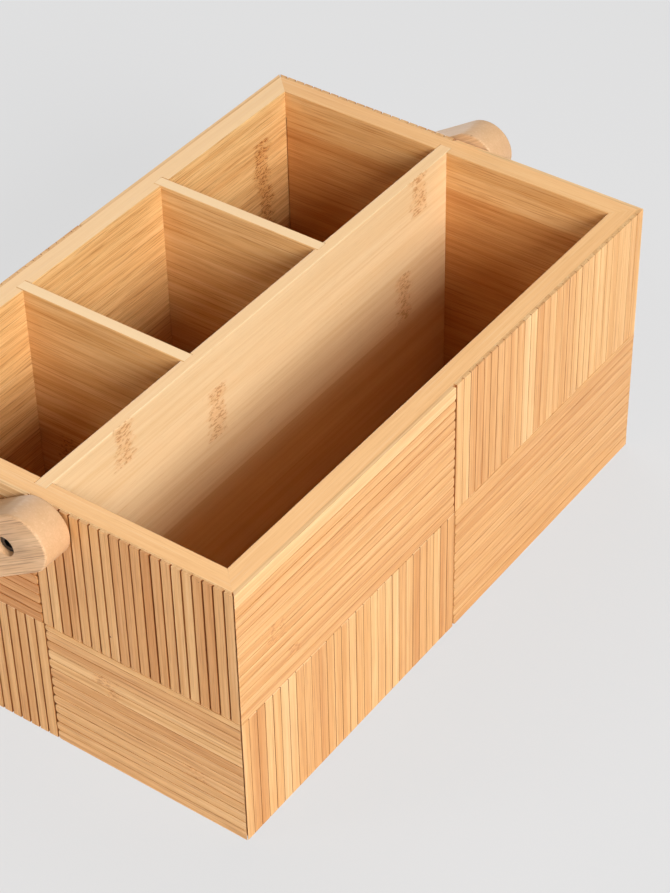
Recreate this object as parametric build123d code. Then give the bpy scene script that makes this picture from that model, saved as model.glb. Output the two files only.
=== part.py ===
from build123d import *
import os
from math import cos, radians, sin

# Bamboo utensil caddy with a swinging carry handle. Millimetres, +Z up, +Y along the length.
# The origin is the middle of the underside. The front end faces -Y, the long bay is on the +X side.

# Overall sizes, over the ribbed cladding
length = 300.0
width = 200.0
height = 136.0

# Box boards
wall = 9.5
base_thickness = 6.0
base_rebate = 4.0
divider_thickness = 6.0
small_bays = 3
wall_housing = 4.0
divider_housing = 1.5

# Ribbed cladding
cladding = 2.0
rib_pitch = 5.1
rib_depth = 1.2
rib_shoulder = 0.25
shoulder_share = 0.9
groove_floor = 0.6
seam = 0.5
seam_drop = 1.0
rim_rib = 7.0
seam_rib = 3.2

# Handle
arm_width = 27.0
arm_thickness = 15.0
arm_edge_round = 0.8
arm_end_reach = 9.7
arm_gap = 0.8
fold_droop = 33.0
pivot_drop = 14.5
bar_diameter = 20.0
bar_rest_gap = 0.4
bar_socket = 4.0
socket_play = 0.05

# Fixings
recess_radius = 4.6
recess_depth = 7.0
bolt_radius = 2.5
bolt_running_play = 0.05
bolt_thread_play = 0.02
bolt_head_radius = 4.2
bolt_head_height = 4.5
bolt_head_play = 0.1
hex_sides = 6
hex_across_flats = 4.0
hex_depth = 2.5
insert_radius = 4.0
insert_length = 5.0
washer_radius = 7.0
washer_play = 0.1
panel_hole_play = 0.3
screw_radius = 2.0
screw_head_radius = 4.0
screw_head_height = 2.6
screw_slot_depth = 1.2
screw_slot_width = 1.2
screw_grip = 18.0

# Sizes that follow from the ones above
core_length = length - 2 * cladding
core_width = width - 2 * cladding
inner_length = core_length - 2 * wall
inner_width = core_width - 2 * wall
bay_length = (inner_length - (small_bays - 1) * divider_thickness) / small_bays
cross_divider_y = (bay_length + divider_thickness) / 2
seam_z = height / 2 - seam_drop
pivot_z = height - pivot_drop
bar_radius = bar_diameter / 2
arm_reach = (width / 2 + bar_rest_gap + bar_radius) / cos(radians(fold_droop))
arm_direction = Vector(-cos(radians(fold_droop)), 0, -sin(radians(fold_droop)))
arm_inner_y = length / 2 + arm_gap
recess_floor = arm_thickness - recess_depth


def block(x_range, y_range, z_range):
    """Rectangular block between two limits on each axis."""
    low = Vector(x_range[0], y_range[0], z_range[0])
    size = Vector(x_range[1], y_range[1], z_range[1]) - low
    corner = (Align.MIN, Align.MIN, Align.MIN)
    return Pos(low) * Box(size.X, size.Y, size.Z, align=corner)


def rod(radius, low, high):
    """Round rod or hole on the local Z axis between two heights."""
    return Pos(0, 0, low) * Cylinder(radius, high - low, align=(Align.CENTER, Align.CENTER, Align.MIN))


# ---- The box: four mitred walls, a base in a rebate, and three dividers in housings ----

def base_footprint():
    half_x = inner_width / 2 + base_rebate
    half_y = inner_length / 2 + base_rebate
    return block((-half_x, half_x), (-half_y, half_y), (0, base_thickness))


def long_divider_blank():
    """The long divider before it is housed for the cross dividers."""
    half_y = inner_length / 2 + wall_housing
    half_x = divider_thickness / 2
    return block((-half_x, half_x), (-half_y, half_y), (base_thickness, height))


def cross_divider(centre_y):
    left = -(inner_width / 2 + wall_housing)
    right = -divider_thickness / 2 + divider_housing
    half_y = divider_thickness / 2
    return block((left, right), (centre_y - half_y, centre_y + half_y), (base_thickness, height))


def mitred_board(outer_run, plane):
    """Wall board lying along a side, with its ends mitred at 45 degrees."""
    half_outer = outer_run / 2
    half_inner = half_outer - wall
    outline = Polyline(
        (-half_outer, 0),
        (half_outer, 0),
        (half_inner, -wall),
        (-half_inner, -wall),
        close=True,
    )
    board = extrude(make_face(Plane.XZ * outline), amount=height, dir=(0, 1, 0))
    return plane * board


def side_planes():
    """Outer face of each core wall: local X runs along it, local Y is up, local Z points outwards."""
    return {
        "front": Plane(origin=(0, -core_length / 2, 0), x_dir=(1, 0, 0), z_dir=(0, -1, 0)),
        "right": Plane(origin=(core_width / 2, 0, 0), x_dir=(0, 1, 0), z_dir=(1, 0, 0)),
        "back": Plane(origin=(0, core_length / 2, 0), x_dir=(-1, 0, 0), z_dir=(0, 1, 0)),
        "left": Plane(origin=(-core_width / 2, 0, 0), x_dir=(0, -1, 0), z_dir=(-1, 0, 0)),
    }


def side_runs():
    """Length of each core wall along its own side."""
    return {"front": core_width, "right": core_length, "back": core_width, "left": core_length}


# ---- Ribbed cladding: a checkerboard of four panels on each side ----

def even_marks(start, end):
    """Rib edges from start to end, evenly spaced near the rib pitch."""
    count = max(1, round((end - start) / rib_pitch))
    return [start + (end - start) * step / count for step in range(count + 1)]


def rib_face(marks, round_start, round_end):
    """Section of a ribbed sheet, local X across the ribs, local Y outwards from the flat back."""
    valley = cladding - rib_depth
    half_floor = groove_floor / 2
    last = len(marks) - 2
    outline = [(marks[0], 0)]
    for index in range(last + 1):
        left = marks[index]
        right = marks[index + 1]
        if index > 0:
            left += half_floor
            outline.append((left, valley))
        if index < last:
            right -= half_floor
        outline.append((left, cladding))
        outline.append((right, cladding))
        if index < last:
            outline.append((right, valley))
    outline.append((marks[-1], 0))
    section = make_face(Polyline(*outline, close=True))
    crests = section.vertices().group_by(Axis.Y)[-1].sort_by(Axis.X)
    first = 0 if round_start else 1
    end = len(crests) if round_end else len(crests) - 1
    return fillet(crests[first:end], min(rib_shoulder, shoulder_share * rib_depth))


def panel(run, right_half, upper_half):
    """One quarter of a side's cladding, in the side's own plane."""
    half_run = run / 2
    low = seam_z + seam / 2 if upper_half else 0
    high = height if upper_half else seam_z - seam / 2
    if right_half == upper_half:
        marks = even_marks(seam / 2, half_run + cladding)
        face = Plane.XZ * rib_face(marks, True, False)
        sheet = Pos(0, low, 0) * extrude(face, amount=high - low, dir=(0, 1, 0))
    else:
        if upper_half:
            marks = even_marks(low, high - rim_rib) + [high]
        else:
            marks = even_marks(low, high - seam_rib) + [high]
        face = Plane.YZ * rib_face(marks, upper_half, not upper_half)
        reach = half_run + cladding - seam / 2
        sheet = Pos(seam / 2, 0, 0) * extrude(face, amount=reach, dir=(1, 0, 0))
    mitre = Polyline(
        (0, 0),
        (half_run, 0),
        (half_run + cladding, cladding),
        (0, cladding),
        close=True,
    )
    sheet = sheet & extrude(make_face(Plane.XZ * mitre), amount=height, dir=(0, 1, 0))
    return sheet if right_half else mirror(sheet, Plane.YZ)


# ---- Carry handle: two arms and a round bar, folded down on the -X side ----

def arm_plane(end):
    """Inner face of an arm at its pivot: local X runs to the bar, local Z points outwards."""
    return Plane(origin=(0, end * arm_inner_y, pivot_z), x_dir=arm_direction, z_dir=(0, end, 0))


def arm():
    """Flat arm with round ends, its inner face on local Z = 0 and the pivot at the origin."""
    overall = arm_reach + 2 * arm_end_reach + arm_width
    outline = Pos(arm_reach / 2, 0) * SlotOverall(overall, arm_width)
    body = extrude(outline, amount=arm_thickness)
    rims = body.edges().filter_by_position(Axis.Z, 0, 0) + body.edges().filter_by_position(
        Axis.Z, arm_thickness, arm_thickness
    )
    body = fillet(rims, arm_edge_round)
    body -= rod(bolt_radius + bolt_running_play, 0, arm_thickness)
    body -= rod(recess_radius, recess_floor, arm_thickness)
    at_bar = Pos(arm_reach, 0, 0)
    body -= at_bar * rod(screw_radius, 0, arm_thickness)
    body -= at_bar * rod(recess_radius, recess_floor, arm_thickness)
    body -= at_bar * rod(bar_radius + socket_play, 0, bar_socket)
    return body


def crossbar():
    """Round bar between the floors of the two arm sockets, drilled for its end screws."""
    half = arm_inner_y + bar_socket
    drilling = bar_socket + screw_grip
    body = rod(bar_radius, -half, half)
    for low, high in ((-half, drilling - half), (half - drilling, half)):
        body -= rod(screw_radius, low, high)
    centre = Vector(0, 0, pivot_z) + arm_direction * arm_reach
    return Pos(centre) * Rot(X=90) * body


# ---- Fixings ----

def pivot_bolt():
    """Socket-head bolt that an arm turns on, in the arm's own plane."""
    head_low = recess_floor + bolt_head_play
    head_high = head_low + bolt_head_height
    tip = -(arm_gap + cladding + insert_length)
    bolt = rod(bolt_head_radius, head_low, head_high) + rod(bolt_radius, tip, head_low)
    hexagon = RegularPolygon(hex_across_flats / 2, hex_sides, major_radius=False)
    socket = extrude(hexagon, amount=hex_depth)
    return bolt - Pos(0, 0, head_high - hex_depth) * socket


def pivot_washer():
    """Thin washer between an arm and the cladding."""
    top = -washer_play
    return rod(washer_radius, -arm_gap, top) - rod(bolt_radius + bolt_running_play, -arm_gap, top)


def thread_insert():
    """Threaded bush let into the outer face of an end wall, behind the cladding."""
    top = -(arm_gap + cladding)
    low = top - insert_length
    return rod(insert_radius, low, top) - rod(bolt_radius + bolt_thread_play, low, top)


def bar_screw():
    """Wood screw through an arm into the end of the bar, in the arm's own plane."""
    head_high = recess_floor + screw_head_height
    screw = rod(screw_head_radius, recess_floor, head_high)
    screw += rod(screw_radius, -screw_grip, recess_floor)
    half = screw_slot_width / 2
    reach = screw_head_radius
    slot = block((-reach, reach), (-half, half), (head_high - screw_slot_depth, head_high))
    return Pos(arm_reach, 0, 0) * (screw - slot)


def at_both_ends(piece):
    """The same piece at the front and back arm, as separate solids of one node."""
    return Compound(children=[arm_plane(end) * piece for end in (-1, 1)])


# ---- Assembly ----

def build():
    planes = side_planes()
    runs = side_runs()
    nodes = {}

    base = base_footprint()
    long_divider = long_divider_blank()
    cross_dividers = {
        "cross_divider_front": cross_divider(-cross_divider_y),
        "cross_divider_back": cross_divider(cross_divider_y),
    }
    for name, plane in planes.items():
        board = mitred_board(runs[name], plane) - base
        if name in ("front", "back"):
            end = -1 if name == "front" else 1
            board -= long_divider
            board -= arm_plane(end) * rod(insert_radius, -(arm_gap + cladding + insert_length), 0)
        if name == "left":
            for divider in cross_dividers.values():
                board -= divider
        nodes[name + "_wall"] = board
    for divider in cross_dividers.values():
        long_divider -= divider
    nodes["base_panel"] = base
    nodes["long_divider"] = long_divider
    nodes.update(cross_dividers)

    bolt_way = rod(bolt_radius + panel_hole_play, -(arm_gap + cladding), 0)
    for name, plane in planes.items():
        for right_half in (False, True):
            for upper_half in (False, True):
                sheet = plane * panel(runs[name], right_half, upper_half)
                if upper_half and name in ("front", "back"):
                    sheet -= arm_plane(-1 if name == "front" else 1) * bolt_way
                place = ("upper" if upper_half else "lower") + ("_right" if right_half else "_left")
                nodes[name + "_panel_" + place] = sheet

    nodes["handle_arm_front"] = arm_plane(-1) * arm()
    nodes["handle_arm_back"] = arm_plane(1) * arm()
    nodes["handle_bar"] = crossbar()
    nodes["bar_screws"] = at_both_ends(bar_screw())
    nodes["pivot_bolts"] = at_both_ends(pivot_bolt())
    nodes["pivot_washers"] = at_both_ends(pivot_washer())
    nodes["thread_inserts"] = at_both_ends(thread_insert())
    return nodes


os.makedirs("parts", exist_ok=True)
for node_name, solid in build().items():
    export_step(solid, "parts/" + node_name + ".step")
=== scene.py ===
import math
import random

import bpy
from mathutils import Matrix, Vector


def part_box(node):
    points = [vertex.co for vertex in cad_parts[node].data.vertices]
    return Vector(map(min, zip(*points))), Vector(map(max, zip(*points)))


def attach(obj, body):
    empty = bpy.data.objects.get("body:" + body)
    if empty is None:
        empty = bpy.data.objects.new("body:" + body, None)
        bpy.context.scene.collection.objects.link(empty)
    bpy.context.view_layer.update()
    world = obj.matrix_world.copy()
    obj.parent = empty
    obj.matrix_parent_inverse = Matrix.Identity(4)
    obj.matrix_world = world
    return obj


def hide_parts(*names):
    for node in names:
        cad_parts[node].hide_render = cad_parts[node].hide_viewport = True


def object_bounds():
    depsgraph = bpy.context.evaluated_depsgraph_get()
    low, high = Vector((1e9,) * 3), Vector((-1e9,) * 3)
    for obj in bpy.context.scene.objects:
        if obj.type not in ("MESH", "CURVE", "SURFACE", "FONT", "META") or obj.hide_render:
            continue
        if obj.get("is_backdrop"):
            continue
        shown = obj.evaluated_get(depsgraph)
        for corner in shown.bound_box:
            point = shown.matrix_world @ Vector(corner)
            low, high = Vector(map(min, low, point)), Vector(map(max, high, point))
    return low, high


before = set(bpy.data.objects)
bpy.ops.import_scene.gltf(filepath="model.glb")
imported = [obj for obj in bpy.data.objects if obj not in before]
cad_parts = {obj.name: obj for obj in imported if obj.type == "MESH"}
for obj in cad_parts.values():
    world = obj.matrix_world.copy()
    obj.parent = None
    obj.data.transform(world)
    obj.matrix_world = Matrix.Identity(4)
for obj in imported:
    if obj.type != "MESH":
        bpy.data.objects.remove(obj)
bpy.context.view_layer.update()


# ---- Base panel ----
# A thin bamboo board, edge-glued from flat strips about 27 mm wide and planed.
# It is let into a rebate round the foot of the four walls and glued there.

BAMBOO_STRIP = 0.02675
SANDED_EDGE = 0.0004
# no strip thinner than this is left at the edge of a board
LEAST_STRIP = 0.0005
STRIP_TONES = (0.65, 1.0)
# a place far outside the box, for strips without a knuckle
NO_KNUCKLE = 9.0
SAME_PLACE = 1e-5
# how far the figure slides along the grain for one unit of tone, so that strips don't match
TONE_SLIDE = 7.31
# a knuckle's flecks are dense out to the first distance and gone at the second
KNUCKLE_CORE = 0.0020
KNUCKLE_REACH = 0.0070
KNUCKLE_WANDER = 0.016
SPECK_SPACING = 0.026
PORE_DEPTH = 0.00012


def linear(colour):
    """An sRGB hex colour as linear RGBA."""
    parts = [int(colour[i:i + 2], 16) / 255 for i in (1, 3, 5)]
    return tuple(c / 12.92 if c <= 0.04045 else ((c + 0.055) / 1.055) ** 2.4 for c in parts) + (1,)


def add_node(tree, kind, inputs=(), **settings):
    """Adds a shader node with its settings, and sets or links its inputs by name or number."""
    node = tree.nodes.new("ShaderNode" + kind)
    for name, value in settings.items():
        setattr(node, name, value)
    for key, value in dict(inputs).items():
        if isinstance(value, bpy.types.NodeSocket):
            tree.links.new(value, node.inputs[key])
        else:
            node.inputs[key].default_value = value
    return node


def bamboo(
    name, grain, across, pale, deep, fleck,
    figure=0.34, scarred=0.56, scar_colours=("#E2A463", "#B0713A"),
):
    """Sanded bamboo under a thin satin lacquer, its fibres lying along grain.

    Long fibre streaks and short dark vessel ends give it its fine lines. Each strip has its
    own tone, and where the cane had a knuckle there is a patch of orange-brown flecks, sunk a
    little. A few small dark specks lie here and there.

    figure is how strongly the lines show, and scarred how strongly the knuckles do.
    """
    material = bpy.data.materials.new(name)
    material.use_nodes = True
    tree = material.node_tree
    shader = tree.nodes["Principled BSDF"]
    grain = Vector(grain).normalized()
    across = Vector(across).normalized()
    place = add_node(tree, "TexCoord").outputs["Object"]
    tone = add_node(tree, "Attribute", attribute_name="tone").outputs["Fac"]
    knuckle = add_node(tree, "Attribute", attribute_name="knuckle").outputs["Fac"]
    parts = [
        add_node(tree, "VectorMath", {0: place, 1: axis}, operation="DOT_PRODUCT").outputs["Value"]
        for axis in (grain, across, grain.cross(across))
    ]
    shift = add_node(tree, "Math", {0: tone, 1: TONE_SLIDE}, operation="MULTIPLY").outputs[0]
    along = add_node(tree, "Math", {0: parts[0], 1: shift}, operation="ADD").outputs[0]
    turned = add_node(tree, "CombineXYZ", {0: along, 1: parts[1], 2: parts[2]}).outputs[0]

    def stretched(length, width, detail, roughness=0.55):
        """Noise drawn out along the grain, its marks this long and wide in metres."""
        scale = (1 / length, 1 / width, 1 / width)
        vector = add_node(tree, "VectorMath", {0: turned, 1: scale}, operation="MULTIPLY").outputs[0]
        inputs = {"Vector": vector, "Scale": 1.0, "Detail": detail, "Roughness": roughness}
        return add_node(tree, "TexNoise", inputs).outputs["Fac"]

    def ramp(value, low, high):
        """0 below low, 1 above high, and a soft step between."""
        inputs = {"Value": value, "From Min": low, "From Max": high}
        return add_node(tree, "MapRange", inputs, interpolation_type="SMOOTHSTEP").outputs[0]

    def mixed(factor, under, over, blend="MIX"):
        """One colour laid over another as strongly as the factor says."""
        inputs = {0: factor, 6: under, 7: over}
        return add_node(tree, "Mix", inputs, data_type="RGBA", blend_type=blend).outputs[2]

    # broad soft bands of pale and deep, then fine darker and lighter fibres
    bands = stretched(length=0.160, width=0.0034, detail=2.0)
    body = mixed(ramp(bands, 0.30, 0.72), linear(pale), linear(deep))
    streaks = stretched(length=0.055, width=0.0009, detail=3.0, roughness=0.65)
    fine = ramp(streaks, 0.46, 0.80)
    fine = add_node(tree, "Math", {0: fine, 1: figure}, operation="MULTIPLY").outputs[0]
    body = mixed(fine, body, linear(fleck))
    light = ramp(streaks, 0.50, 0.22)
    light = add_node(tree, "Math", {0: light, 1: 0.22}, operation="MULTIPLY").outputs[0]
    body = mixed(light, body, linear("#F4E0C0"))

    # short vessel ends and thin dark lines
    vessels = ramp(stretched(length=0.0085, width=0.00042, detail=1.0), 0.60, 0.74)
    thin = add_node(tree, "Math", {0: vessels, 1: 0.22}, operation="MULTIPLY").outputs[0]
    body = mixed(thin, body, linear(fleck))
    lines = ramp(stretched(length=0.030, width=0.00050, detail=2.0, roughness=0.6), 0.54, 0.66)
    lines = add_node(tree, "Math", {0: lines, 1: figure}, operation="MULTIPLY").outputs[0]
    body = mixed(lines, body, linear(fleck))

    # the tone of the strip: browner below 1, bleached above; some low tones are painted shade and some
    # high ones painted highlights
    browner_and_painted_shade = add_node(tree, "Math", {0: 1.0, 1: tone}, operation="SUBTRACT").outputs[0]
    body = mixed(browner_and_painted_shade, body, linear("#DEC0A0"), "MULTIPLY")
    bleached_and_painted_highlight = ramp(tone, 1.0, 2.0)
    body = mixed(bleached_and_painted_highlight, body, linear("#FADBAC"))

    # the knuckle, a ragged patch of flecks across the strip
    ragged = stretched(length=0.006, width=0.0035, detail=2.0)
    wander = add_node(tree, "Math", {0: ragged, 1: 0.5}, operation="SUBTRACT").outputs[0]
    wander = add_node(tree, "Math", {0: wander, 1: KNUCKLE_WANDER}, operation="MULTIPLY").outputs[0]
    away = add_node(tree, "Math", {0: parts[0], 1: knuckle}, operation="SUBTRACT").outputs[0]
    away = add_node(tree, "Math", {0: away, 1: wander}, operation="ADD").outputs[0]
    away = add_node(tree, "Math", {0: away}, operation="ABSOLUTE").outputs[0]
    patch = ramp(away, KNUCKLE_REACH, KNUCKLE_CORE)
    crumbs = ramp(stretched(length=0.0021, width=0.00085, detail=1.0), 0.50, 0.60)
    scar = add_node(tree, "Math", {0: patch, 1: crumbs}, operation="MULTIPLY").outputs[0]
    haze = add_node(tree, "Math", {0: patch, 1: scarred / 2}, operation="MULTIPLY").outputs[0]
    body = mixed(haze, body, linear(scar_colours[0]))
    strong = add_node(tree, "Math", {0: scar, 1: scarred}, operation="MULTIPLY").outputs[0]
    body = mixed(strong, body, linear(scar_colours[1]))
    # dark specks, at most a millimetre across
    cells = {"Vector": place, "Scale": 1 / SPECK_SPACING}
    cells = add_node(tree, "TexVoronoi", cells).outputs["Distance"]
    speck = ramp(cells, 0.020, 0.012)
    body = mixed(speck, body, linear("#5B3418"))
    tree.links.new(body, shader.inputs["Base Color"])

    rough = add_node(tree, "MapRange", {"Value": streaks, "To Min": 0.42, "To Max": 0.62}).outputs[0]
    tree.links.new(rough, shader.inputs["Roughness"])
    pits = add_node(tree, "Math", {0: vessels, 1: -0.5}, operation="MULTIPLY").outputs[0]
    height = add_node(tree, "Math", {0: streaks, 1: pits}, operation="ADD").outputs[0]
    dents = add_node(tree, "Math", {0: scar, 1: -1.6}, operation="MULTIPLY").outputs[0]
    height = add_node(tree, "Math", {0: height, 1: dents}, operation="ADD").outputs[0]
    bump = add_node(tree, "Bump", {"Height": height, "Strength": 0.35, "Distance": PORE_DEPTH})
    tree.links.new(bump.outputs[0], shader.inputs["Normal"])
    shader.inputs["IOR"].default_value = 1.5
    return material


def only(piece):
    """Selects one object and nothing else."""
    bpy.ops.object.select_all(action="DESELECT")
    piece.select_set(True)
    bpy.context.view_layer.objects.active = piece


def block(name, low, high):
    """A square-edged block between two corners."""
    low = Vector(low)
    high = Vector(high)
    bpy.ops.object.select_all(action="DESELECT")
    bpy.ops.mesh.primitive_cube_add(size=1, location=(low + high) / 2)
    piece = bpy.context.object
    piece.name = name
    piece.scale = high - low
    bpy.ops.object.transform_apply(location=True, rotation=True, scale=True)
    return piece


def open_on_edges(piece, wanted):
    """Opens a piece in edit mode with the wanted edges selected."""
    only(piece)
    bpy.ops.object.mode_set(mode="EDIT")
    bpy.ops.mesh.select_mode(type="EDGE")
    bpy.ops.mesh.select_all(action="DESELECT")
    bpy.ops.object.mode_set(mode="OBJECT")
    ends = piece.data.vertices
    for edge in piece.data.edges:
        edge.select = wanted(*(ends[i].co for i in edge.vertices))
    bpy.ops.object.mode_set(mode="EDIT")


def round_edges(piece, wanted, radius, segments=2):
    """Rounds the wanted edges."""
    open_on_edges(piece, wanted)
    bpy.ops.mesh.bevel(offset=radius, segments=segments, affect="EDGES")
    bpy.ops.object.mode_set(mode="OBJECT")


def slice_piece(piece, point, normal, drop=False):
    """Cuts a piece on a plane. With drop, the part that the normal points to goes."""
    only(piece)
    bpy.ops.object.mode_set(mode="EDIT")
    bpy.ops.mesh.select_all(action="SELECT")
    bpy.ops.mesh.bisect(plane_co=point, plane_no=normal, use_fill=drop, clear_outer=drop)
    bpy.ops.object.mode_set(mode="OBJECT")


def near(value, target):
    """True when two places are one and the same."""
    return abs(value - target) < SAME_PLACE


def glue_strips(piece, axis, first_joint, seed, knuckles, tones=()):
    """Marks the glued strips that a board is made of: a cut at each joint, and a tone for each strip.

    A tone of 1 is the pale side of the bamboo, 0 the browner side, and above 1 is bleached; some given
    tones also paint shade, and some high ones paint light.
    knuckles and tones go by the strip's number from the first joint, and other tones are drawn.
    """
    normal = Vector((0, 0, 0))
    normal[axis] = 1
    spots = [vertex.co[axis] for vertex in piece.data.vertices]
    joints_below = math.ceil((min(spots) + LEAST_STRIP - first_joint) / BAMBOO_STRIP)
    joint = first_joint + joints_below * BAMBOO_STRIP
    while joint < max(spots) - LEAST_STRIP:
        slice_piece(piece, normal * joint, normal)
        joint += BAMBOO_STRIP
    tone = piece.data.attributes.new("tone", "FLOAT", "FACE")
    knuckle = piece.data.attributes.new("knuckle", "FLOAT", "FACE")
    draw = random.Random(seed)
    drawn = [draw.uniform(*STRIP_TONES) for strip in range(24)]
    tones = dict(tones)
    for face in piece.data.polygons:
        strip = math.floor((face.center[axis] - first_joint) / BAMBOO_STRIP)
        tone.data[face.index].value = tones.get(strip, drawn[strip % len(drawn)])
        knuckle.data[face.index].value = knuckles.get(strip, NO_KNUCKLE)


def pale_top(piece, top, tone):
    """Gives the sanded top edge of a board its own tone, and the second of its two finishes."""
    for face in piece.data.polygons:
        if near(face.center.z, top):
            piece.data.attributes["tone"].data[face.index].value = tone
            piece.data.attributes["knuckle"].data[face.index].value = NO_KNUCKLE
            face.material_index = 1


def finish_piece(piece, body, materials, nodes):
    """Gives a piece its finishes, its body and the CAD nodes that it stands for.

    A face takes the finish that its material number points to.
    """
    numbers = [face.material_index for face in piece.data.polygons]
    piece.data.materials.clear()
    for material in materials:
        piece.data.materials.append(material)
    piece.data.polygons.foreach_set("material_index", numbers)
    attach(piece, body)
    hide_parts(*nodes)


base_low, base_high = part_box("base_panel")
base = block("base_board", base_low, base_high)
round_edges(base, lambda a, b: near(a.z, b.z) and near(a.z, base_low.z), SANDED_EDGE / 2)
glue_strips(base, axis=0, first_joint=-0.004, seed=11, knuckles={-3: 0.071, 1: -0.098})
# Planed and hardly sanded, the base is the brownest of the boards.
base_bamboo = bamboo(
    "bamboo_base_planed", (0, 1, 0), (1, 0, 0), pale="#CE9450", deep="#B97D3C", fleck="#8A5526"
)
finish_piece(base, "box", [base_bamboo], ["base_panel"])


# ---- Long divider ----
# A 6 mm board of edge-glued bamboo strips that stands the length of the box and makes the
# long bay. Its ends and the cross dividers are housed, and its top is flush with the rim.

HOUSING_PLAY = 0.00008
# how far a square cutter stands out of what it cuts
CUTTER_PAST = 0.002
DIVIDER_FIRST_JOINT = 0.008
# the top strip has a second knuckle in its far half
FAR_HALF = 0.01
FAR_KNUCKLE = 0.116


def carve(piece, cutter):
    """Takes the cutter's shape out of a piece, and throws the cutter away."""
    only(piece)
    cut = piece.modifiers.new("cut", "BOOLEAN")
    cut.operation = "DIFFERENCE"
    cut.solver = "EXACT"
    cut.object = cutter
    bpy.ops.object.modifier_apply(modifier=cut.name)
    bpy.data.objects.remove(cutter)


def housing_for(node):
    """A cutter as large as a divider, with a hair of play round it and open at the top."""
    low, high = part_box(node)
    play = Vector((HOUSING_PLAY, HOUSING_PLAY, 0))
    return block("housing", low - play, high + play + Vector((0, 0, CUTTER_PAST)))


def top_edges(top, grain):
    """Picks the two long edges at the top of a board whose grain lies along this axis."""
    return lambda a, b: near(a.z, top) and near(b.z, top) and not near(a[grain], b[grain])


divider_low, divider_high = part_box("long_divider")
long_divider = block("long_divider_board", divider_low, divider_high)
round_edges(long_divider, top_edges(divider_high.z, 1), SANDED_EDGE)
for node in ("cross_divider_front", "cross_divider_back"):
    carve(long_divider, housing_for(node))
# the strips grow browner towards the foot, partly the board's own tone and partly painted shade deep in
# the bay
divider_tones_with_painted_shade = {4: 0.96, 3: 0.92, 2: 0.84, 1: 0.50, 0: 0.30}
divider_knuckles = {4: -0.0956, 3: -0.036, 2: 0.104}
glue_strips(long_divider, 2, DIVIDER_FIRST_JOINT, 23, divider_knuckles, divider_tones_with_painted_shade)
slice_piece(long_divider, (0, FAR_HALF, 0), (0, 1, 0))
top_strip_foot = DIVIDER_FIRST_JOINT + 4 * BAMBOO_STRIP
for face in long_divider.data.polygons:
    if face.center.y > FAR_HALF and face.center.z > top_strip_foot:
        long_divider.data.attributes["knuckle"].data[face.index].value = FAR_KNUCKLE
pale_top(long_divider, divider_high.z, tone=1.45)
# The divider is the palest board, sanded so fine that its lines hardly show.
divider_bamboo = bamboo(
    "bamboo_board_along_y", (0, 1, 0), (0, 0, 1),
    pale="#F4D8AC", deep="#EBCA99", fleck="#CFA470", figure=0.16,
)
# The top edges are sanded smoothest of all, and show hardly any figure.
edge_along_x, edge_along_y = (
    bamboo("bamboo_edge_along_" + axis, grain, (0, 0, 1), "#F6C283", "#EDB576", "#D09454", figure=0.20)
    for axis, grain in (("x", (1, 0, 0)), ("y", (0, 1, 0)))
)
finish_piece(long_divider, "box", [divider_bamboo, edge_along_y], ["long_divider"])


# ---- Cross dividers ----
# Two short boards of the same stuff, 6 mm thick, that part the narrow side into three bays.
# They are housed in the long divider and in the left wall.

DEEP_SCAR = ("#CC8A45", "#9C5C26")
# These boards have strong brown lines and dark knuckles. Their strips grow browner towards the foot,
# partly their own tone and partly painted shade deep in the bays.
cross_bamboo = bamboo(
    "bamboo_board_along_x", (1, 0, 0), (0, 0, 1), pale="#F0C386", deep="#E0AA68", fleck="#BC742E",
    figure=0.55, scarred=0.75, scar_colours=DEEP_SCAR,
)
# browner strips towards the foot, partly painted shade deep in the bays
cross_tones_with_painted_shade = {4: 1.0, 3: 0.95, 2: 0.92, 1: 0.60, 0: 0.40}
for node, seed, knuckles in (
    ("cross_divider_front", 31, {1: -0.072}),
    ("cross_divider_back", 37, {1: -0.028}),
):
    low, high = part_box(node)
    board = block(node + "_board", low, high)
    round_edges(board, top_edges(high.z, 0), SANDED_EDGE)
    glue_strips(board, 2, DIVIDER_FIRST_JOINT, seed, knuckles, cross_tones_with_painted_shade)
    pale_top(board, high.z, tone=1.70)
    finish_piece(board, "box", [cross_bamboo, edge_along_x], [node])


# ---- Walls ----
# Four bamboo boards 9.5 mm thick, mitred and glued at the corners. Their insides are bare
# board, their tops make the rim, and the ribbed cladding is glued on outside.

WALL = 0.0095
MITRE_LINE = 0.00003
INSERT_LENGTH = 0.0050
# width, depth and height of the open stretch of one glue joint
OPEN_JOINT = Vector((0.0005, 0.004, 0.116))
insert_low, insert_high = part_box("thread_inserts")
insert_radius = (insert_high.x - insert_low.x) / 2
insert_z = (insert_high.z + insert_low.z) / 2

# The long walls are cut from streaky cane, and their knuckles are nearly brown.
wall_bamboo = bamboo(
    "bamboo_wall_along_y", (0, 1, 0), (0, 0, 1), pale="#F4C98A", deep="#E4B070", fleck="#AC6E2E",
    figure=0.68, scarred=0.90, scar_colours=DEEP_SCAR,
)
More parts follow.
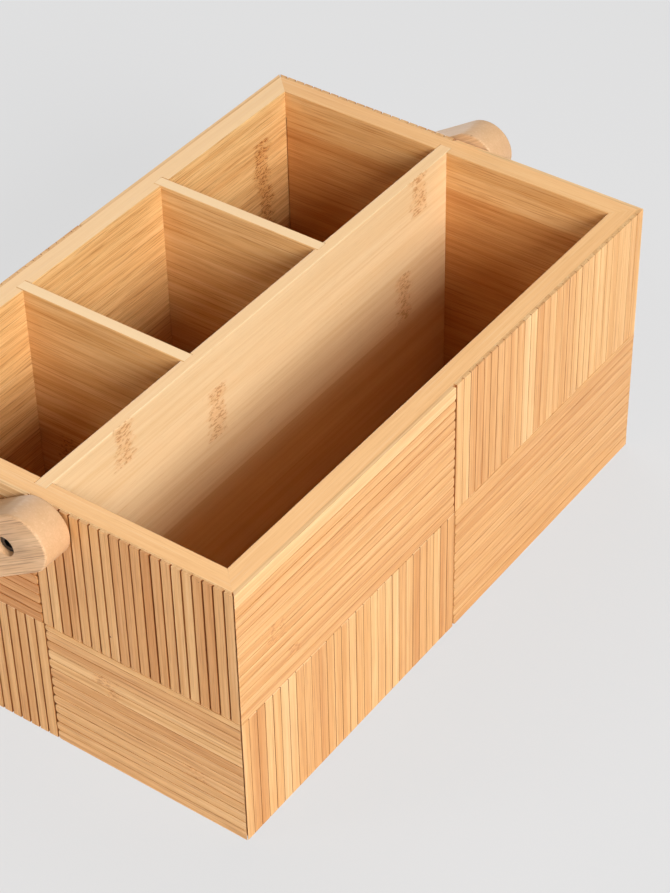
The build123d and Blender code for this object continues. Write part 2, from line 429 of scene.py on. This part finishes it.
# side: outward direction, joint height of the first strip, seed, tone of the top edge,
# knuckles and tones by strip
walls = {
    "front": ((0, -1, 0), 0.006, 41, 1.05, {2: 0.052}, {}),
    "back": (
        (0, 1, 0), 0.010, 43, 1.05,
        {1: -0.061},
        # the back wall's lower strips are dark, partly a browner strip and partly painted shade on its
        # inside
        {4: 0.75, 3: 0.15, 2: 0.0, 1: 0.05, 0: 0.0},
    ),
    "left": (
        # the top edge tone, paler than the other walls', is painted light on the left rim
        (-1, 0, 0), 0.012, 47, 1.50,
        {3: 0.118, 2: 0.121, 1: -0.017},
        # the left wall's strips grow browner towards the foot, partly their own tone and partly painted
        # shade in the bays
        {4: 1.0, 3: 0.85, 2: 0.75, 1: 0.45, 0: 0.30},
    ),
    "right": ((1, 0, 0), 0.009, 53, 1.05, {3: -0.044, 1: 0.085}, {}),
}
for side, (outward, first_joint, seed, edge_tone, knuckles, tones) in walls.items():
    low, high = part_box(side + "_wall")
    outward = Vector(outward)
    grain = 0 if outward.y else 1
    board = block(side + "_board", low, high)
    inner = (low if outward.x + outward.y > 0 else high)[1 - grain]
    long_edge = top_edges(high.z, grain)
    round_edges(board, lambda a, b: long_edge(a, b) and near(a[1 - grain], inner), SANDED_EDGE)
    for end in (-1, 1):
        away = Vector((0, 0, 0))
        away[grain] = end
        corner = Vector((low.x if outward.x < 0 else high.x, low.y if outward.y < 0 else high.y, 0))
        corner[grain] = end * high[grain]
        slice_piece(board, corner - away * MITRE_LINE, away - outward, drop=True)
    carve(board, block("rebate", base_low - Vector((0, 0, CUTTER_PAST)), base_high))
    if grain == 0:
        carve(board, housing_for("long_divider"))
        bpy.ops.object.select_all(action="DESELECT")
        face_y = low.y if outward.y < 0 else high.y
        bpy.ops.mesh.primitive_cylinder_add(
            vertices=32,
            radius=insert_radius,
            depth=2 * INSERT_LENGTH,
            location=(0, face_y, insert_z),
            rotation=(math.pi / 2, 0, 0),
        )
        bore = bpy.context.object
        bpy.ops.object.transform_apply(location=True, rotation=True, scale=True)
        carve(board, bore)
    if side == "left":
        carve(board, housing_for("cross_divider_front"))
        carve(board, housing_for("cross_divider_back"))
    if side == "back":
        # The glue joint in the far left corner stands open a little below the rim.
        corner = Vector((-high.x + WALL, low.y, base_high.z))
        carve(board, block("open_joint", corner, corner + OPEN_JOINT))
    glue_strips(board, 2, first_joint, seed, knuckles, tones)
    pale_top(board, high.z, edge_tone)
    finishes = [cross_bamboo, edge_along_x] if grain == 0 else [wall_bamboo, edge_along_y]
    finish_piece(board, "box", finishes, [side + "_wall"])


# ---- Ribbed cladding ----
# Sixteen thin bamboo panels, four to a side, sawn into ribs about 5 mm wide with narrow grooves
# between. The ribs stand upright and lie level by turns, like a checkerboard, and their ends
# are rounded over at the seams. The grooves are coloured dark brown, partly the raw sawn cane
# and partly painted shade deep in the narrow grooves.

RIB_PITCH = 0.0051
# groove widths between upright ribs and between level ribs, wider on the two ends of the box
END_SIDE_GROOVES = (0.0008, 0.0005)
LONG_SIDE_GROOVES = (0.0003, 0.0003)
CLADDING = 0.0020
RIB_HEIGHT = 0.0012
RIB_SHOULDER = 0.00007
# how unevenly the ribs came out of the cutter: their width, height, and ends at the seam
RIB_STRETCH = (0.965, 1.03)
CREST_SINK = 0.00012
UPRIGHT_END_BACK = 0.00020
LEVEL_END_BACK = 0.00035
END_ZONE = 0.002
UPRIGHT_END_ROUND = 0.0004
LEVEL_END_ROUND = 0.0013
SEAM_GAP = 0.00025
SEAM_CLOSE = 0.00020
CORNER_GAP = 0.00030
# the share of upright ribs whose rounded seam end gets a painted highlight, how far up, and the tone
# there
LIT_END_SHARE = 0.45
LIT_END_REACH = 0.0012
LIT_END_TONE = 1.9
# the last level rib is a wide one under the rim and a narrow one at the seam
RIM_RIB = 0.0070
# the wide rim rib is paled, partly a paler strip of cane and partly a painted highlight along the rim
RIM_RIB_PALE_AND_HIGHLIGHT_TONE = 1.25
SEAM_RIB = 0.0032
TONE_STEP = 0.08
PLAIN_TONES = (0.6, 1.0)

rim_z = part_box("right_wall")[1].z
seam_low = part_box("right_panel_lower_left")[1].z
seam_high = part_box("right_panel_upper_left")[0].z

# The crests are brushed along the fibre, so each rib shows fine lines and a tone of its own.
upright_bamboo = bamboo(
    "ribbed_bamboo_upright", (0, 0, 1), (1, 0, 0),
    pale="#EABC81", deep="#DAA364", fleck="#AE7743", figure=0.42,
)
level_x_bamboo = bamboo(
    "ribbed_bamboo_level_x", (1, 0, 0), (0, 0, 1),
    pale="#F0C389", deep="#DAA364", fleck="#AE7743", figure=0.52,
)
level_y_bamboo = bamboo(
    "ribbed_bamboo_level_y", (0, 1, 0), (0, 0, 1),
    pale="#EABC81", deep="#DAA364", fleck="#AE7743", figure=0.42,
)
# The groove floors and the long sides of upright ribs are much browner than the crests: partly raw
# sawn bamboo, partly painted shade deep in the narrow grooves.
groove_sawn_and_shade_bamboo = bamboo(
    "sawn_bamboo_groove_and_painted_shade", (0, 0, 1), (1, 0, 0), pale="#BC7A3C", deep="#9A5E2A", fleck="#6E401A"
)


def even_marks(start, end):
    """Rib edges from start to end, evenly spaced near the rib pitch."""
    count = max(1, round((end - start) / RIB_PITCH))
    return [start + (end - start) * step / count for step in range(count + 1)]


def mitre(piece, run, half):
    """Cuts a piece at the box corner, a hair short of the neighbouring side."""
    point = (half * (run / 2 - CORNER_GAP * math.sqrt(2)), 0, 0)
    slice_piece(piece, point, (half, 1, 0), drop=True)


def rib(low, high, round_at, end_round):
    """One rib, seen from the front, its crest at the low y. round_at picks the end to round over."""
    piece = block("rib", low, high)
    round_edges(piece, lambda a, b: not near(a.y, b.y) and round_at(a), end_round, 3)
    round_edges(piece, lambda a, b: near(a.y, low[1]) and near(b.y, low[1]), RIB_SHOULDER)
    return piece


def copy_rib(piece, shift, stretch, across, middle):
    """A copy of a rib with its own mesh, moved across the panel and made a little wider or thinner."""
    twin = piece.copy()
    twin.data = piece.data.copy()
    bpy.context.scene.collection.objects.link(twin)
    scale = Matrix.Scale(stretch, 4, across)
    centre = Matrix.Translation(middle)
    twin.data.transform(Matrix.Translation(shift) @ centre @ scale @ centre.inverted())
    return twin


def set_tone(piece, tone, knuckle):
    """Gives a whole piece one tone, and the place of its knuckle."""
    for name, value in (("tone", tone), ("knuckle", knuckle)):
        attribute = piece.data.attributes.new(name, "FLOAT", "FACE")
        attribute.data.foreach_set("value", [value] * len(piece.data.polygons))


def join(pieces):
    """Joins pieces into the first of them."""
    only(pieces[0])
    for piece in pieces[1:]:
        piece.select_set(True)
    bpy.ops.object.join()


def paint_highlight_on_end(piece, seam_end, root):
    """Pales the rounded seam end of an upright rib, a painted highlight where the round-over catches
    the light.
    """
    for face in piece.data.polygons:
        at_end = abs(face.center.z - seam_end) < LIT_END_REACH and face.center.y < root
        if at_end and abs(face.normal.x) < 0.9:
            piece.data.attributes["tone"].data[face.index].value = LIT_END_TONE


def mark_sawn_and_shaded(panel, root, upright):
    """Gives the groove floors, and the long sides of upright ribs, the second finish: browner sawn
    bamboo with painted shade.
    """
    for face in panel.data.polygons:
        floor = near(face.center.y, root) and face.normal.y < -0.9
        side = upright and abs(face.normal.x) > 0.9 and face.center.y < root
        face.material_index = 1 if floor or side else 0


def ribbed_panel(name, run, half, upper, grooves, seed, tones, knuckles):
    """One panel as it lies on the front side: half is 1 right of the seam and -1 left of it.

    Its inner ribs are copies of one pattern rib, each a little wider or narrower.
    """
    draw = random.Random(seed)
    low_z = seam_high - SEAM_CLOSE if upper else 0.0
    high_z = rim_z if upper else seam_low + SEAM_CLOSE
    reach = run / 2 + CLADDING
    inner_x = half * SEAM_GAP
    outer_x = half * reach
    x_range = (min(inner_x, outer_x), max(inner_x, outer_x))
    upright = (half > 0) == upper
    groove = grooves[0] if upright else grooves[1]
    crest = -CLADDING
    root = RIB_HEIGHT - CLADDING
    sheet = block(name, (x_range[0], root, low_z), (x_range[1], 0, high_z))
    mitre(sheet, run, half)
    set_tone(sheet, 1.0, NO_KNUCKLE)
    if upright:
        marks = [half * mark for mark in even_marks(SEAM_GAP, reach)]
        seam_end = low_z if upper else high_z
        across = Vector((1, 0, 0))
    else:
        marks = even_marks(low_z, high_z - (RIM_RIB if upper else SEAM_RIB)) + [high_z]
        across = Vector((0, 0, 1))

    def whole_rib(start, end):
        """A rib between two marks, as long as the panel."""
        if upright:
            low, high = (start, crest, low_z), (end, root, high_z)
            return rib(low, high, lambda point: near(point.z, seam_end), UPRIGHT_END_ROUND)
        low, high = (x_range[0], crest, start), (x_range[1], root, end)
        return rib(low, high, lambda point: near(point.x, inner_x), LEVEL_END_ROUND)

    ribs = []
    pattern = None
    for index in range(len(marks) - 1):
        start, end = sorted((marks[index], marks[index + 1]))
        first = index == 0
        last = index == len(marks) - 2
        at_start, at_end = (first, last) if marks[-1] > marks[0] else (last, first)
        start += 0 if at_start else groove / 2
        end -= 0 if at_end else groove / 2
        middle = across * ((start + end) / 2)
        plain = not (first or last)
        if plain and pattern is not None:
            shift = middle - pattern_middle
            stretch = draw.uniform(*RIB_STRETCH)
            piece = copy_rib(pattern, shift, stretch, across, pattern_middle)
        else:
            piece = whole_rib(start, end)
            if not upright or last:
                mitre(piece, run, half)
            if plain:
                pattern = piece
                pattern_middle = middle
        sink = draw.uniform(0, CREST_SINK)
        back_off = draw.uniform(0, UPRIGHT_END_BACK if upright else LEVEL_END_BACK)
        for vertex in piece.data.vertices:
            if vertex.co.y < crest + RIB_SHOULDER:
                vertex.co.y += sink
            if upright and abs(vertex.co.z - seam_end) < END_ZONE:
                vertex.co.z += back_off if upper else -back_off
            if not upright and abs(vertex.co.x - inner_x) < END_ZONE:
                vertex.co.x += half * back_off
        # the ribs come in pairs from one strip of cane, so two by two they are nearly alike
        if index % 2 == 0:
            pair_tone = draw.uniform(*tones)
        tone = max(0.0, pair_tone + draw.uniform(-TONE_STEP, TONE_STEP))
        # the rim rib's pale tone is partly a painted highlight
        if last and upper and not upright:
            tone = RIM_RIB_PALE_AND_HIGHLIGHT_TONE
        ribs.append((piece, tone, knuckles.get(index, NO_KNUCKLE)))
    for piece, tone, knuckle in ribs:
        set_tone(piece, tone, knuckle)
        # some upright ribs get a painted highlight on their rounded seam end
        if upright and draw.random() < LIT_END_SHARE:
            paint_highlight_on_end(piece, seam_end, root)
    join([sheet] + [piece for piece, tone, knuckle in ribs])
    mark_sawn_and_shaded(sheet, root, upright)
    return sheet


# side: turn about Z in degrees, run of the core wall, seed, the range of tones of each panel,
# and where ribs show a knuckle: the rib's number, from the seam or from the foot, and its place
core_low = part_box("left_wall")[0]
core_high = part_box("right_wall")[1]
sides = {
    "front": (
        0, core_high.x - core_low.x, 100,
        {
            "lower_right": (0.45, 0.95), "upper_right": (0.30, 0.90),
            "lower_left": (0.45, 0.80), "upper_left": (0.05, 0.30),
        # the front upper left panel's low tones are a painted shadow of the handle arm
        },
        {"lower_right": {9: 0.030, 8: 0.033, 4: 0.075}},
    ),
    "right": (
        90, core_high.y - core_low.y, 200,
        {
            "lower_right": (0.60, 0.90), "upper_right": (0.50, 1.20),
            "lower_left": (0.45, 1.20), "upper_left": (0.55, 0.72),
        },
        {"upper_left": {5: -0.127, 6: -0.125, 2: -0.114}},
    ),
    "back": (180, core_high.x - core_low.x, 300, {}, {"lower_right": {4: -0.058, 5: -0.056}}),
    "left": (270, core_high.y - core_low.y, 400, {}, {"upper_left": {7: 0.066, 3: 0.021}}),
}
for side, (turn, run, seed, tones, knuckles) in sides.items():
    turned = Matrix.Rotation(math.radians(turn), 4, "Z")
    end_side = turn % 180 == 0
    out = core_high.y if end_side else core_high.x
    grooves = END_SIDE_GROOVES if end_side else LONG_SIDE_GROOVES
    for half, hand in ((-1, "left"), (1, "right")):
        for upper, row in ((False, "lower"), (True, "upper")):
            seed += 1
            quarter = row + "_" + hand
            node = side + "_panel_" + quarter
            panel = ribbed_panel(
                side + "_cladding_" + quarter, run, half, upper, grooves, seed,
                tones.get(quarter, PLAIN_TONES), knuckles.get(quarter, {}),
            )
            panel.data.transform(turned @ Matrix.Translation((0, -out, 0)))
            if (half > 0) == upper:
                finish = upright_bamboo
            else:
                finish = level_x_bamboo if end_side else level_y_bamboo
            # the second finish darkens the grooves, partly sawn cane and partly painted shade
            finish_piece(panel, "box", [finish, groove_sawn_and_shade_bamboo], [node])
            only(panel)
            bpy.ops.object.shade_smooth_by_angle(angle=math.radians(10))


# ---- Handle arms ----
# Two flat bamboo arms 27 mm wide and 15 mm thick with round ends, sanded soft at the edges.
# A recess at each end takes a fixing: the pivot bolt, and the screw into the crossbar.

ARM_DROOP = math.radians(33)
ARM_WIDTH = 0.027
ARM_END_REACH = 0.0097
ARM_SOFT_EDGE = 0.0010
RECESS_RADIUS = 0.0046
RECESS_DEPTH = 0.0070
RECESS_SOFT_EDGE = 0.0003
BOLT_WAY = 0.00255
SOCKET_DEPTH = 0.004
SOCKET_PLAY = 0.00005
# how far a drill runs past what it cuts
DRILL_PAST = 0.001

arm_direction = Vector((-math.cos(ARM_DROOP), 0, -math.sin(ARM_DROOP)))
# The arms are duller and greyer than the box, with many fine dark lines on their flat faces.
arm_bamboo = bamboo(
    "bamboo_arm_sanded", arm_direction, (0, 1, 0),
    pale="#E4BE93", deep="#DAB085", fleck="#8E633D", figure=0.55,
)
# Their edges and round ends are sanded smooth, and show little figure.
arm_edge_bamboo = bamboo(
    "bamboo_arm_edge", arm_direction, (0, 1, 0),
    pale="#DBB389", deep="#D6AE83", fleck="#BE8E60", figure=0.14,
)
bar_low, bar_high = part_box("handle_bar")
bar_radius = (bar_high.x - bar_low.x) / 2
bolt_low, bolt_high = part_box("pivot_bolts")
pivot = Vector((0, 0, (bolt_low.z + bolt_high.z) / 2))
bar_centre = (bar_low + bar_high) / 2
arm_reach = (bar_centre - pivot).length
inner_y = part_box("handle_arm_back")[0].y


def drill(radius, x, low, high, sides=40):
    """A cutter for a hole through or into a piece that lies flat."""
    bpy.ops.object.select_all(action="DESELECT")
    bpy.ops.mesh.primitive_cylinder_add(
        vertices=sides, radius=radius, depth=high - low, location=(x, 0, (low + high) / 2)
    )
    cutter = bpy.context.object
    bpy.ops.object.transform_apply(location=True, rotation=True, scale=True)
    return cutter


def flat_arm(name, thickness):
    """An arm on the bench: it lies along X from the pivot at the origin, with its outer face up."""
    bpy.ops.object.select_all(action="DESELECT")
    bpy.ops.mesh.primitive_circle_add(vertices=64, radius=ARM_WIDTH / 2, fill_type="NGON")
    arm = bpy.context.object
    arm.name = name
    for vertex in arm.data.vertices:
        vertex.co.x += arm_reach + ARM_END_REACH if vertex.co.x > 1e-6 else -ARM_END_REACH
    bpy.ops.object.mode_set(mode="EDIT")
    bpy.ops.mesh.select_all(action="SELECT")
    bpy.ops.mesh.extrude_region_move(TRANSFORM_OT_translate={"value": (0, 0, thickness)})
    bpy.ops.mesh.select_all(action="SELECT")
    bpy.ops.mesh.normals_make_consistent(inside=False)
    bpy.ops.object.mode_set(mode="OBJECT")
    round_edges(arm, lambda a, b: near(a.z, b.z), ARM_SOFT_EDGE, 4)
    carve(arm, drill(BOLT_WAY, 0, -DRILL_PAST, thickness + DRILL_PAST))
    carve(arm, drill(BOLT_WAY, arm_reach, -DRILL_PAST, thickness + DRILL_PAST))
    carve(arm, drill(bar_radius + SOCKET_PLAY, arm_reach, -DRILL_PAST, SOCKET_DEPTH, 64))
    for x in (0, arm_reach):
        carve(arm, drill(RECESS_RADIUS, x, thickness - RECESS_DEPTH, thickness + DRILL_PAST))

    def at_mouth(point):
        """True on the sharp mouth of a recess, before it is eased."""
        reaches = [math.hypot(point.x - x, point.y) for x in (0, arm_reach)]
        return near(point.z, thickness) and any(abs(r - RECESS_RADIUS) < 0.0001 for r in reaches)

    round_edges(arm, lambda a, b: at_mouth(a) and at_mouth(b), RECESS_SOFT_EDGE, 2)
    return arm


def stand_at(end, along):
    """Moves bench work to the front arm (end -1) or back arm (1), this far from the pivot along it."""
    outward = Vector((0, end, 0))
    stand = Matrix((arm_direction, outward.cross(arm_direction), outward)).transposed().to_4x4()
    return Matrix.Translation(pivot + arm_direction * along + outward * inner_y) @ stand


for end, node, tone in ((-1, "handle_arm_front", 0.75), (1, "handle_arm_back", 0.9)):
    arm_low, arm_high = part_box(node)
    arm = flat_arm(node + "_sanded", arm_high.y - arm_low.y)
    arm.data.transform(stand_at(end, 0))
    set_tone(arm, tone, NO_KNUCKLE)
    for face in arm.data.polygons:
        face.material_index = 1 if abs(face.normal.y) < 0.5 else 0
    finish_piece(arm, "handle", [arm_bamboo, arm_edge_bamboo], [node])
    only(arm)
    bpy.ops.object.shade_smooth_by_angle(angle=math.radians(40))


# ---- Crossbar ----
# A 20 mm bamboo bar, turned from a block glued up of flat strips, that joins the two arms. Its
# ends sit in shallow sockets in the arms, and it is drilled for the end screws.

BAR_SIDES = 72
BAR_END_ROUND = 0.0008
BAR_LAYER = 0.0067
# tone and knuckle of the three layers, from the -X side
BAR_LAYERS = ((0.9, -0.061), (0.55, 0.088), (0.8, 0.012))
PILOT_RADIUS = 0.0020
SCREW_GRIP = 0.018
bar_length = bar_high.y - bar_low.y
bpy.ops.object.select_all(action="DESELECT")
bpy.ops.mesh.primitive_cylinder_add(vertices=BAR_SIDES, radius=bar_radius, depth=bar_length)
bar = bpy.context.object
bar.name = "crossbar_turned"
round_edges(bar, lambda a, b: near(a.z, b.z), BAR_END_ROUND, 3)
for end in (-1, 1):
    hole_low, hole_high = sorted((end * bar_length / 2, end * (bar_length / 2 - SCREW_GRIP)))
    carve(bar, drill(PILOT_RADIUS, 0, hole_low - DRILL_PAST, hole_high + DRILL_PAST, 24))
for x in (-BAR_LAYER / 2, BAR_LAYER / 2):
    slice_piece(bar, (x, 0, 0), (1, 0, 0))
bar_tone = bar.data.attributes.new("tone", "FLOAT", "FACE")
bar_knuckle = bar.data.attributes.new("knuckle", "FLOAT", "FACE")
for face in bar.data.polygons:
    layer = BAR_LAYERS[min(2, max(0, 1 + round(face.center.x / BAR_LAYER)))]
    bar_tone.data[face.index].value, bar_knuckle.data[face.index].value = layer
bar.data.transform(Matrix.Translation(bar_centre) @ Matrix.Rotation(math.pi / 2, 4, "X"))
# Turned and sanded, the bar looks like the arms' flat faces, with its glued layers showing.
bar_bamboo = bamboo(
    "bamboo_bar_turned", (0, 1, 0), (0, 0, 1),
    pale="#E0BA90", deep="#D6AD82", fleck="#8E633D", figure=0.55,
)
finish_piece(bar, "handle", [bar_bamboo], ["handle_bar"])
only(bar)
bpy.ops.object.shade_smooth_by_angle(angle=math.radians(35))


# ---- Pivot bolts, crossbar screws, washers and inserts ----
# Dark steel socket bolts turn in the arms and screw into brass inserts in the end walls,
# with a thin nylon washer between. Slotted steel screws hold the arms to the bar.

def metal(name, colour, roughness, tarnish):
    """Machined metal with fine lathe lines and a little tarnish, which break up its reflections."""
    material = bpy.data.materials.new(name)
    material.use_nodes = True
    tree = material.node_tree
    shader = tree.nodes["Principled BSDF"]
    place = add_node(tree, "TexCoord").outputs["Object"]
    # tarnish spots about 2 mm across, lathe marks about 0.15 mm apart
    spots = add_node(tree, "TexNoise", {"Vector": place, "Scale": 500.0, "Detail": 3.0}).outputs["Fac"]
    tint = add_node(tree, "Mix", {0: spots, 6: linear(colour), 7: linear(tarnish)}, data_type="RGBA")
    tree.links.new(tint.outputs[2], shader.inputs["Base Color"])
    spread = {"Value": spots, "To Min": roughness, "To Max": roughness + 0.2}
    tree.links.new(add_node(tree, "MapRange", spread).outputs[0], shader.inputs["Roughness"])
    lines = add_node(tree, "TexNoise", {"Vector": place, "Scale": 6600.0, "Detail": 1.0}).outputs["Fac"]
    bump = add_node(tree, "Bump", {"Height": lines, "Strength": 0.2, "Distance": 0.00002})
    tree.links.new(bump.outputs[0], shader.inputs["Normal"])
    shader.inputs["Metallic"].default_value = 1.0
    return material


bolt_steel = metal("blacked_bolt_steel", "#5C5C60", 0.26, "#33312E")
screw_steel = metal("blacked_screw_steel", "#646468", 0.30, "#3A3835")
brass = metal("machined_brass", "#D9B45C", 0.30, "#A8823A")
HEAD_RADIUS = 0.0042
HEAD_HEIGHT = 0.0045
SHANK_RADIUS = 0.0025
HEX_RADIUS = 0.0023
HEX_DEPTH = 0.0025
BOLT_TIP_Y = 0.1430
HEAD_EDGE = 0.0004
TIP_EDGE = 0.0004
# how far a shank runs up into its head
SHANK_ROOT = 0.0002
SCREW_HEAD_RADIUS = 0.0040
SCREW_HEAD_HEIGHT = 0.0026
SCREW_HEAD_EDGE = 0.0008
SCREW_SLOT = 0.0012
SCREW_RADIUS = 0.00195
SCREW_POINT = 0.0012


def turned_rod(radius, low, high, sides=48):
    """A round bar on the bench, upright on Z."""
    return drill(radius, 0, low, high, sides)


def at_both_ends(name, head, shank, along):
    """One fixing at each end of the box, made of a head and a shank from the bench."""
    join([head, shank])
    pair = []
    for end in (-1, 1):
        twin = head.copy()
        twin.data = head.data.copy()
        bpy.context.scene.collection.objects.link(twin)
        twin.data.transform(stand_at(end, along))
        pair.append(twin)
    bpy.data.objects.remove(head)
    join(pair)
    pair[0].name = name
    return pair[0]


head_top = bolt_high.y - inner_y
head = turned_rod(HEAD_RADIUS, head_top - HEAD_HEIGHT, head_top)
round_edges(head, lambda a, b: near(a.z, b.z), HEAD_EDGE, 3)
carve(head, drill(HEX_RADIUS, 0, head_top - HEX_DEPTH, head_top + DRILL_PAST, 6))
shank_foot = BOLT_TIP_Y - inner_y
shank = turned_rod(SHANK_RADIUS, shank_foot, head_top - HEAD_HEIGHT + SHANK_ROOT, 32)
round_edges(shank, lambda a, b: near(a.z, shank_foot) and near(b.z, shank_foot), TIP_EDGE, 2)
bolts = at_both_ends("pivot_bolt_pair", head, shank, 0)
finish_piece(bolts, "box", [bolt_steel], ["pivot_bolts"])

screw_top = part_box("bar_screws")[1].y - inner_y
head = turned_rod(SCREW_HEAD_RADIUS, screw_top - SCREW_HEAD_HEIGHT, screw_top)
round_edges(head, lambda a, b: near(a.z, screw_top) and near(b.z, screw_top), SCREW_HEAD_EDGE, 4)
slot_half = SCREW_HEAD_RADIUS + DRILL_PAST
slot_low = (-slot_half, -SCREW_SLOT / 2, screw_top - SCREW_SLOT)
slot_high = (slot_half, SCREW_SLOT / 2, screw_top + DRILL_PAST)
carve(head, block("slot", slot_low, slot_high))
shank = turned_rod(SCREW_RADIUS, -SCREW_GRIP, screw_top - SCREW_HEAD_HEIGHT + SHANK_ROOT, 24)
round_edges(shank, lambda a, b: near(a.z, -SCREW_GRIP) and near(b.z, -SCREW_GRIP), SCREW_POINT, 2)
screws = at_both_ends("crossbar_screw_pair", head, shank, arm_reach)
finish_piece(screws, "handle", [screw_steel], ["bar_screws"])

for piece in (bolts, screws):
    only(piece)
    bpy.ops.object.shade_smooth_by_angle(angle=math.radians(35))

# Moulded nylon is milky and half dull, with cloudy patches about 3 mm across.
nylon = bpy.data.materials.new("moulded_nylon_washer")
nylon.use_nodes = True
shader = nylon.node_tree.nodes["Principled BSDF"]
place = add_node(nylon.node_tree, "TexCoord").outputs["Object"]
cloud = {"Vector": place, "Scale": 300.0, "Detail": 2.0}
cloud = add_node(nylon.node_tree, "TexNoise", cloud).outputs["Fac"]
milky = {0: cloud, 6: linear("#E9E4D6"), 7: linear("#D8D1BF")}
milky = add_node(nylon.node_tree, "Mix", milky, data_type="RGBA").outputs[2]
nylon.node_tree.links.new(milky, shader.inputs["Base Color"])
shader.inputs["Roughness"].default_value = 0.45
for node, material in (("pivot_washers", nylon), ("thread_inserts", brass)):
    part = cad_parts[node]
    part.data.materials.clear()
    part.data.materials.append(material)


# ---- Studio ----
# A pale grey floor without an edge, a large soft lamp on the right, weaker ones on the left, low
# in front and low behind, a cool one high behind, and an even pale surround. The camera stands
# where the photograph's stood.

FLOOR_SIZE = 30
FLOOR_DROP = 0.0002
LAMP_AIM = Vector((0, 0, 0.07))
CAMERA_PLACE = (0.52879, -0.66857, 0.77975)
CAMERA_TURN = math.radians(36.288)
CAMERA_DOWN = math.radians(40.399)
CAMERA_ROLL = math.radians(-1.278)
FOCAL_PIXELS = 2518.7
PHOTO_HEIGHT = 893
SENSOR = 36.0

bpy.ops.object.select_all(action="DESELECT")
bpy.ops.mesh.primitive_plane_add(size=FLOOR_SIZE, location=(0, 0, -FLOOR_DROP))
floor = bpy.context.object
floor.name = "studio_floor"
floor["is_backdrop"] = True
# Matt paper that the camera sees mostly as an even glow, so it stays pale right out to the edge.
paper = bpy.data.materials.new("matt_grey_paper")
paper.use_nodes = True
tree = paper.node_tree
shader = tree.nodes["Principled BSDF"]
shader.inputs["Base Color"].default_value = linear("#E6E7EB")
shader.inputs["Roughness"].default_value = 0.9
glow = add_node(tree, "Emission", {"Color": linear("#E1E1E1"), "Strength": 1.0})
seen = add_node(tree, "LightPath").outputs["Is Camera Ray"]
even = add_node(tree, "Math", {0: seen, 1: 0.85}, operation="MULTIPLY").outputs[0]
blend = add_node(tree, "MixShader", {0: even, 1: shader.outputs[0], 2: glow.outputs[0]})
tree.links.new(blend.outputs[0], tree.nodes["Material Output"].inputs["Surface"])
floor.data.materials.append(paper)

world = bpy.data.worlds.new("pale_surround")
bpy.context.scene.world = world
world.use_nodes = True
tree = world.node_tree
surround = tree.nodes["Background"]
surround.inputs["Color"].default_value = linear("#F4F6FA")
surround.inputs["Strength"].default_value = 0.08
backdrop = add_node(tree, "Background", {"Color": linear("#E1E1E1"), "Strength": 1.0})
path = add_node(tree, "LightPath")
shown = {0: path.outputs["Is Glossy Ray"], 1: 0.3, 2: path.outputs["Is Camera Ray"]}
shown = add_node(tree, "Math", shown, operation="MULTIPLY_ADD")
blend = {0: shown.outputs[0], 1: surround.outputs[0], 2: backdrop.outputs[0]}
blend = add_node(tree, "MixShader", blend)
tree.links.new(blend.outputs[0], tree.nodes["World Output"].inputs["Surface"])


def lamp(name, place, size, power, colour):
    """A soft square lamp that faces the middle of the box."""
    bpy.ops.object.light_add(type="AREA", location=place)
    light = bpy.context.object
    light.name = name
    light.data.size = size
    light.data.energy = power
    light.data.color = linear(colour)[:3]
    light.rotation_euler = (LAMP_AIM - Vector(place)).to_track_quat("-Z", "Y").to_euler()


lamp("key_softbox", (2.02, -0.86, 1.36), 0.95, 75, "#FFFCF8")
lamp("front_card", (0.25, -2.6, 0.34), 0.6, 8, "#FFFCF8")
lamp("left_softbox", (-1.15, -1.50, 1.80), 0.6, 8, "#FFFCF8")
lamp("back_softbox", (-0.88, 0.88, 2.25), 1.5, 19, "#F8FAFF")
lamp("back_card", (-1.9, 1.5, 0.42), 0.6, 13, "#FFFCF8")

bpy.ops.object.camera_add(location=CAMERA_PLACE)
camera = bpy.context.object
aim = Matrix.Rotation(CAMERA_TURN, 4, "Z") @ Matrix.Rotation(math.pi / 2 - CAMERA_DOWN, 4, "X")
camera.rotation_euler = (aim @ Matrix.Rotation(CAMERA_ROLL, 4, "Z")).to_euler()
camera.data.sensor_width = SENSOR
camera.data.lens = FOCAL_PIXELS * SENSOR / PHOTO_HEIGHT
camera.data.clip_start = 0.01
camera.data.clip_end = 60
bpy.context.scene.camera = camera
bpy.context.scene.view_settings.view_transform = "Standard"

low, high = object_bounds()
